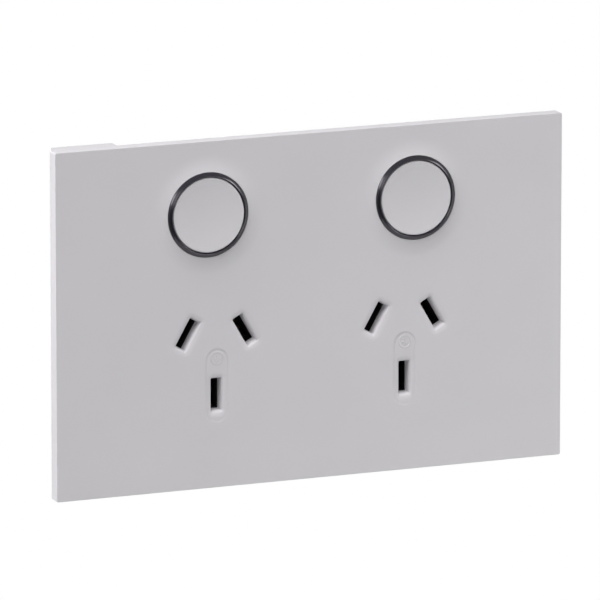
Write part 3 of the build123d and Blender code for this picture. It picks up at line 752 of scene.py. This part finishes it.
# %% The cover's skin
front = [loop(outline, profile[0][0]) for outline, profile in rims]
back = [loop(outline, profile[-1][0]) for outline, profile in rims]
cover_patches = [fill(FACE, *front), fill(SKIN, *back)]
cover_patches += [carry(outline, profile) for outline, profile in rims]
piece("front_cover_skin", cover_patches + hooks, WHITE, "socket", ["front_cover"])

# %% [markdown]
# ## Earth inserts
#
# Each earth slot is in a separate stadium-shaped insert, a tenth of a millimetre below the face. The line
# round it is the bevelled edge of the cover's opening. The slot's lead-in is wider at the ends than at the
# sides, where the insert has less room. A small raised mark in a circle tells which slot is earth: it is
# the general sign for a protective earth, a stem on three shrinking bars. A bump in the material would
# draw it too, but low ridges also catch the light along the edge and are there in the mesh.

# %% The earth sign
INSERT_SINK = 0.12 * mm
INSERT_FACE = FACE + INSERT_SINK
MARK_UP = 6.25 * mm
MARK_R = 1.42 * mm
BEAD_W = 0.25 * mm
BEAD_H = 0.10 * mm
BEAD_FOOT = INSERT_FACE + BEAD_H
MARK_BARS = [(0.85 * mm, -0.05 * mm), (0.55 * mm, -0.42 * mm), (0.25 * mm, -0.79 * mm)]
MARK_STEM = 0.95 * mm


def bar(middle, width, height):
    """Low rounded ridge: an outline drawn in by w(1 - cos t) and raised by h sin t, over a quarter turn."""
    outline = rectangle(width, height, BEAD_W / 2, middle, steps=6)
    drawn_in = -BEAD_W / 2 * (1 - np.cos(QUARTER))
    rows = np.stack([drawn_in, INSERT_FACE - BEAD_H * np.sin(QUARTER)], -1).tolist()
    return [carry(outline, [(0, BEAD_FOOT)] + rows), fill(BEAD_FOOT, loop(outline, 0))]


def round_bead(middle, radius, steps=12, around=64):
    """Ridge round a circle: a closed profile of half an ellipse and a flat underside."""
    t = np.linspace(0, np.pi, steps + 1)
    rows = np.stack([radius + BEAD_W / 2 * np.cos(t), INSERT_FACE - BEAD_H * np.sin(t)], -1)
    under = [[radius - BEAD_W / 2, BEAD_FOOT], [radius + BEAD_W / 2, BEAD_FOOT]]
    return [carry(circle(middle, around), np.concatenate([rows, under, rows[:1]]))]


def earth_mark(middle):
    """Circle, stem and three bars."""
    stem_end = MARK_BARS[0][1]
    parts = round_bead(middle, MARK_R)
    parts += bar(middle + [0, (MARK_STEM + stem_end) / 2], BEAD_W, MARK_STEM - stem_end)
    for half, z in MARK_BARS:
        parts += bar(middle + [0, z], 2 * half, BEAD_W)
    return parts


print("sign of a circle, a stem and", len(MARK_BARS), "bars")

# %% Inserts
SIDE_LEAD = 1.1 * mm
LIP_Y = SKIN - INSERT_LIP_T

for side in SIDES:
    edge = [(0, INSERT_FACE), (0, LIP_Y), (INSERT_LIP, LIP_Y), (INSERT_LIP, SKIN)]
    lead = lead_in(INSERT_FACE)
    outer, slot = stadium(side), earth_slot(side)
    funnel = earth_slot(side, share=(SIDE_LEAD / LEAD_W, 1))
    patches = [
        carry(outer, edge), carry(funnel, lead), carry(slot, [lead[-1]] + collar_profile),
        fill(INSERT_FACE, loop(outer, edge[0][0]), loop(funnel, LEAD_W)),
        fill(SKIN, loop(outer, INSERT_LIP), loop(slot, COLLAR_T)),
    ]
    patches += earth_mark(insert[side] + [0, MARK_UP])
    piece(side + "_earth_insert_skin", patches, WHITE, "socket", [side + "_earth_insert"])

# %% [markdown]
# ## Rings
#
# A dark glossy ring stands between the flared mount and each button. It falls in an arc from a ridge beside
# the button, so it catches the lamps as short streaks and mirrors more of the room where it turns away.
# It is a turned shape: a profile of (radius, depth) carried round a circle. A Screw modifier would turn
# it too, but the grid closes on itself with no seam to merge.

# %% Rings
RIDGE_R = 8.92 * mm
RIDGE_RISE = 1.15 * mm
RIDGE_SLOPE = np.radians(20)
RING_BORE = 8.74 * mm
RING_BREAK = 0.22 * mm
CREST = FACE - FLARE_H


def ring_profile(ridge_steps=4, arc_steps=16):
    """Rounded ridge, then an arc whose slope grows evenly from RIDGE_SLOPE to the flare, then the flange.

    An arc that starts at slope a and whose chord has slope c ends at slope 2c - a.
    """
    ridge = FACE - RIDGE_RISE
    last = 2 * np.arctan2(CREST - ridge, RING_R - RIDGE_R) - RIDGE_SLOPE
    arc = (RING_R - RIDGE_R) / (np.sin(last) - np.sin(RIDGE_SLOPE))
    t = np.linspace(RIDGE_SLOPE, last, arc_steps + 1)
    out = RIDGE_R + arc * (np.sin(t) - np.sin(t[0]))
    shoulder = np.stack([out, ridge + arc * (np.cos(t[0]) - np.cos(t))], -1)
    t = np.linspace(0, np.pi / 2, ridge_steps + 1)[:-1]
    out = RING_BORE + (RIDGE_R - RING_BORE) * (1 - np.cos(t))
    inner = np.stack([out, ridge + RING_BREAK * (1 - np.sin(t))], -1)
    flange = RING_R + RING_FLANGE
    flange_y = SKIN - RING_FLANGE_T
    rest = [
        (RING_R, flange_y), (flange, flange_y), (flange, SKIN), (RING_BORE, SKIN),
        (RING_BORE, ridge + RING_BREAK),
    ]
    return np.concatenate([inner, shoulder, rest])


for side in SIDES:
    turned = carry(circle(button[side]), ring_profile())
    piece(side + "_halo_ring_gloss", [turned], RING, "socket", [side + "_halo_ring"])

# %% [markdown]
# ## Button caps
#
# The cap that a finger presses is a shallow dish with a crisp rounded edge, hollow behind, with a boss
# that sits on the plunger. A sphere cut off would give the dish alone. One turned profile gives all of it,
# from the middle of the dish round to the bottom of the bore, and it rides on the button's body.

# %% Caps
CAP_R = 8.6 * mm
CAP_DISH = 0.42 * mm
CAP_EDGE = 0.3 * mm
CAP_ROUND = 0.24 * mm
CAP_WALL = 1.4 * mm
BOSS_R = 3.4 * mm
BOSS_BORE = 1.9 * mm
BORE_DEPTH = 1.7 * mm


def cap_profile(rim, skirt, dish_steps=24):
    """Dish as part of a ball, a rounded edge, the skirt, the hollow behind, and the boss with its bore."""
    dish_r = CAP_R - CAP_EDGE
    ball = (dish_r**2 + CAP_DISH**2) / (2 * CAP_DISH)
    r = np.linspace(0, dish_r, dish_steps + 1)
    dish = np.stack([r, rim + CAP_DISH - (ball - np.sqrt(ball**2 - r**2))], -1)
    out = CAP_R - CAP_ROUND * (1 - np.sin(QUARTER))
    edge = np.stack([out, rim + CAP_ROUND * (1 - np.cos(QUARTER))], -1)
    inner = rim + CAP_DISH + CAP_WALL
    wall = CAP_R - CAP_WALL
    floor = skirt - BORE_DEPTH
    rest = [
        (CAP_R, skirt), (wall, skirt), (wall, inner), (BOSS_R, inner), (BOSS_R, skirt),
        (BOSS_BORE, skirt), (BOSS_BORE, floor), (0, floor),
    ]
    return np.concatenate([dish, edge, rest])


for side in SIDES:
    name = side + "_button_cap"
    low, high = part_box(name)
    turned = carry(circle(button[side]), cap_profile(low.y, high.y))
    piece(name + "_dish", [turned], WHITE, side + "_button", [name])

# %% [markdown]
# ## Screws
#
# Two long screws go into the wall box, four short ones hold the rear cover and one clamps the wire in each
# terminal. A thread is often faked with rings, but rings don't climb. Here the thread is one grid wound
# round the shank: each column starts a little further on than the last, so a turn gains one pitch.
# A slotted head is a grid too, whose rows run across the slot and are doubled where its walls drop.

# %% Threads
AROUND = 32
PER_PITCH = 8
THREAD_DEPTH = 0.6
FLANK = 2.4
LAND = 1.4


def thread(middle, crest, root, start, end, pitch):
    """Helical ridge: a point at turn u and angle a lies pitch times (u + a / full turn) from the start.

    The radius swells once per pitch, as LAND less FLANK times the distance from the crest in half
    pitches, held between 0 and 1. It fades out at both ends, where the points are held. Once round is
    one pitch, so the last column meets the first one PER_PITCH rows on.
    """
    length = abs(end - start)
    u = np.arange(-PER_PITCH, (np.ceil(length / pitch) + 2) * PER_PITCH + 1)[:, None] / PER_PITCH
    part = np.arange(AROUND) / AROUND
    along = np.clip(pitch * (u + part), 0, length)
    swell = np.clip(LAND - FLANK * abs(2 * (u % 1) - 1), 0, 1)
    fade = np.clip(np.minimum(along, length - along) / pitch, 0, 1)
    radius = root + (crest - root) * swell * fade
    x = middle[0] + radius * np.cos(2 * np.pi * part)
    z = middle[1] + radius * np.sin(2 * np.pi * part)
    points = np.stack([x, start + np.sign(end - start) * along, z], -1).reshape(-1, 3)
    number = np.arange(len(points)).reshape(-1, AROUND)
    here = number[:-PER_PITCH]
    ahead = np.concatenate([here[:, 1:], number[PER_PITCH:, :1]], 1)
    return points, np.stack([here[:-1], ahead[:-1], ahead[1:], here[1:]], -1).reshape(-1, 4)


def shank(middle, crest, start, end, pitch):
    """Thread with a broken tip. Its root lies THREAD_DEPTH of a pitch below its crest."""
    root = crest - THREAD_DEPTH * pitch
    tip = end - np.sign(end - start) * pitch / 2
    point = [(root, tip), (root - pitch / 2, end), (0, end)]
    return root, [thread(middle, crest, root, start, tip, pitch), carry(circle(middle, AROUND), point)]


print("points in a turn of thread:", AROUND * PER_PITCH)

# %% Slotted heads
HEAD_EDGE = 0.5 * mm
DRIVE_W = 0.8 * mm
DRIVE_D = 0.8 * mm
SIDE_ROWS = 13
HEAD_COLUMNS = 33


def slotted_head(middle, radius, seat, top, neck):
    """Round head: x = u sqrt(r^2 - z^2), with a quarter circle at the rim and a flat floor in the slot."""
    half = DRIVE_W / 2
    side = radius * np.sin(np.linspace(np.pi / 2, np.arcsin(half / radius), SIDE_ROWS))
    z = np.concatenate([-side, [-half, 0, half], side[::-1]])[:, None]
    floor = np.repeat([0, DRIVE_D, 0], [SIDE_ROWS, 3, SIDE_ROWS])[:, None]
    u = np.sin(np.linspace(-np.pi / 2, np.pi / 2, HEAD_COLUMNS))
    x = u * np.sqrt(np.maximum(radius**2 - z**2, 0))
    over = np.clip(np.hypot(x, z) - radius + HEAD_EDGE, 0, HEAD_EDGE)
    drop = np.maximum(HEAD_EDGE - np.sqrt(HEAD_EDGE**2 - over**2), floor)
    grid = np.stack([middle[0] + x, top + np.sign(seat - top) * drop, middle[1] + z + 0 * x], -1)
    number = np.arange(x.size).reshape(x.shape)
    around = [number[:-1, :-1], number[:-1, 1:], number[1:, 1:], number[1:, :-1]]
    rim = np.concatenate([grid[:, -1], grid[::-1, 0]])
    foot = rim * [1, 0, 1] + [0, seat, 0]
    edge = foot[np.linalg.norm(foot - np.roll(foot, 1, axis=0), axis=1) > SAME][:, [0, 2]]
    under = fill(seat, edge, loop(circle(middle, AROUND), neck))
    wall = np.concatenate([rim, foot]), quads(2, len(rim))
    return [(grid.reshape(-1, 3), np.stack(around, -1).reshape(-1, 4)), wall, under]


print("rows across a slotted head:", 2 * SIDE_ROWS + 3)

# %% [markdown]
# ## Heads with a cross recess
#
# The rear cover's screws have a cross recess that narrows towards its floor. A boolean could cut it. But a
# plus sign is an outline with twelve corners, so the top is simply a sheet with one hole.

# %% Heads with a cross recess
CROSS_REACH = 0.62
CROSS_TAPER = 0.12 * mm


def cross(middle, arm, half):
    """Outline of a plus sign with twelve corners, as a function of outset."""
    x_sign = np.array([1, 1, 1, 1, -1, -1, -1, -1, -1, -1, 1, 1])
    x_far = np.isin(np.arange(12), [0, 1, 6, 7])

    def at(outset):
        """Corners of the plus sign, one row of them for each outset."""
        out = np.asarray(outset, float)[..., None]
        x = x_sign * np.where(x_far, arm + out, half + out)
        return np.array(middle) + np.stack([x, np.roll(x, 3, axis=-1)], -1)

    return at


def cross_head(middle, radius, seat, top, neck):
    """Pan head with a quarter circle at its rim and a tapering cross recess."""
    way = np.sign(seat - top)
    recess = cross(middle, CROSS_REACH * radius, DRIVE_W / 2)
    out = radius - HEAD_EDGE * (1 - np.sin(QUARTER))
    rim = np.stack([out, top + way * HEAD_EDGE * (1 - np.cos(QUARTER))], -1).tolist()
    outer = circle(middle, AROUND)
    floor = top + way * DRIVE_D
    return [
        carry(outer, rim + [(radius, seat), (neck, seat)]),
        fill(top, loop(outer, radius - HEAD_EDGE), loop(recess, 0)),
        carry(recess, [(0, top), (-CROSS_TAPER, floor)]), fill(floor, loop(recess, -CROSS_TAPER)),
    ]


print("corners of the cross recess:", cross((0, 0), 2, 1)(np.zeros(1)).shape[1])

# %% [markdown]
# ## The nine screws in place
#
# Screws of one kind could be copies of one object. Here they share a mesh, as they share a node among the
# solids: they sit on the same body and never move apart. Depths are counted along Y, so a screw that goes
# in from behind has its tip at a smaller depth than its head.

# %% Wall screws
WALL_X = 42 * mm
WALL_R = 1.75 * mm
WALL_NECK_R = 1.5 * mm
WALL_HEAD_R = 3.3 * mm
WALL_TOP = -3.5 * mm
WALL_SEAT = -1.5 * mm
WALL_NECK_END = 0.2 * mm
WALL_END = 26 * mm
WALL_PITCH = 0.6 * mm

wall = []
for x in (-WALL_X, WALL_X):
    root, turns = shank((x, 0), WALL_R, WALL_NECK_END, WALL_END, WALL_PITCH)
    neck = [(WALL_NECK_R, WALL_SEAT), (WALL_NECK_R, WALL_NECK_END), (root, WALL_NECK_END)]
    wall += turns + [carry(circle((x, 0), AROUND), neck)]
    wall += slotted_head((x, 0), WALL_HEAD_R, WALL_SEAT, WALL_TOP, WALL_NECK_R)
piece("wall_screws_threaded", wall, ZINC, "socket", ["wall_screws"])

# %% Terminal screws
CLAMP_X = 11 * mm
CLAMP_Z = 20.5 * mm
CLAMP_R = 1.9 * mm
CLAMP_HEAD_R = 2.8 * mm
CLAMP_TIP = 15.3 * mm
CLAMP_SEAT = 19.6 * mm
CLAMP_TOP = 21.4 * mm
CLAMP_PITCH = 0.7 * mm

clamps = []
for x in (-CLAMP_X, 0, CLAMP_X):
    root, turns = shank((x, CLAMP_Z), CLAMP_R, CLAMP_SEAT, CLAMP_TIP, CLAMP_PITCH)
    clamps += turns + slotted_head((x, CLAMP_Z), CLAMP_HEAD_R, CLAMP_SEAT, CLAMP_TOP, root)
piece("terminal_screws_threaded", clamps, ZINC, "socket", ["terminal_screws"])

# %% Rear cover screws
REAR_AT = np.array([(-25, 6), (25, 6), (-31.5, -25), (31.5, -25)]) * mm
REAR_R = 1.15 * mm
REAR_HEAD_R = 2.4 * mm
REAR_TIP = 15 * mm
REAR_SEAT = 24 * mm
REAR_TOP = 25.5 * mm
REAR_PITCH = 0.6 * mm

rear = []
for middle in REAR_AT:
    root, turns = shank(middle, REAR_R, REAR_SEAT, REAR_TIP, REAR_PITCH)
    rear += turns + cross_head(middle, REAR_HEAD_R, REAR_SEAT, REAR_TOP, root)
piece("rear_cover_screws_threaded", rear, ZINC, "socket", ["rear_cover_screws"])

# %% [markdown]
# ## Return springs
#
# A coil behind each plunger pushes the button back. It stands on a post of the rear cover and shortens by
# the button's travel, so it can't simply ride along: it stays on the socket's body, with a mesh of its own.
# A bent curve with a round section would also give the wire. The grid has the same form and no modifier
# to keep track of.

# %% Springs
SPRING_R = 2.2 * mm
WIRE_R = 0.3 * mm
SPRING_TURNS = 4
PER_TURN = 48
WIRE_SIDES = 14


def coil(middle, first, last):
    """Round wire along a helix: the centre turns in X and Z while Y goes evenly from first to last.

    The wire's circle lies in the plane of the outward direction and of what is square to it and the path.
    Its first and last rows shrink to the centre, which closes the ends.
    """
    p = np.linspace(0, 2 * np.pi * SPRING_TURNS, PER_TURN * SPRING_TURNS + 1)
    out = np.stack([np.cos(p), 0 * p, -np.sin(p)], -1)
    axis = np.stack([middle[0] + 0 * p, np.linspace(first, last, len(p)), middle[1] + 0 * p], -1)
    centre = SPRING_R * out + axis
    path = np.gradient(centre, axis=0)
    aside = np.cross(path / np.linalg.norm(path, axis=1, keepdims=True), out)
    v = np.linspace(0, 2 * np.pi, WIRE_SIDES, endpoint=False)[:, None]
    wire = WIRE_R * (out[:, None] * np.cos(v) + aside[:, None] * np.sin(v))
    wire = np.concatenate([0 * wire[:1], wire, 0 * wire[-1:]])
    rows = centre[:, None][np.r_[0, np.arange(len(p)), len(p) - 1]] + wire
    return rows.reshape(-1, 3), quads(len(p) + 2, WIRE_SIDES)


for side in SIDES:
    node = side + "_return_spring"
    low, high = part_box(node)
    turns = coil(button[side], low.y + WIRE_R, high.y - WIRE_R)
    made = piece(node + "_wire", [turns], SPRING, "socket", [node])
    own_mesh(made)

# %% [markdown]
# ## The other solids
#
# The mounting frame, the housing and the contacts keep their solids, whose shapes are right. They could be
# rebuilt as grids as well, but all that they lack is a finish: black moulding for the housing, rolled brass
# for strips and terminals, silver for the contact rivets.

# %% Finishes of the other solids
for names, material in (
    (["mounting_frame"], FRAME),
    (["socket_housing"], BLACK),
    (["rear_cover"], GREY),
    (["left_plunger", "right_plunger"], NATURAL),
    (["neutral_strip", "earth_strip", "active_feed_strip"], BRASS),
    (["active_terminal", "earth_terminal", "neutral_terminal"], BRASS),
    ([side + "_active_contact" for side in SIDES] + [side + "_contact_bridge" for side in SIDES], BRASS),
    ([side + "_bridge_rivets" for side in SIDES] + [side + "_fixed_rivets" for side in SIDES], SILVER),
):
    for name in names:
        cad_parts[name].material_slots[0].material = material
    print(material.name, "on", len(names))
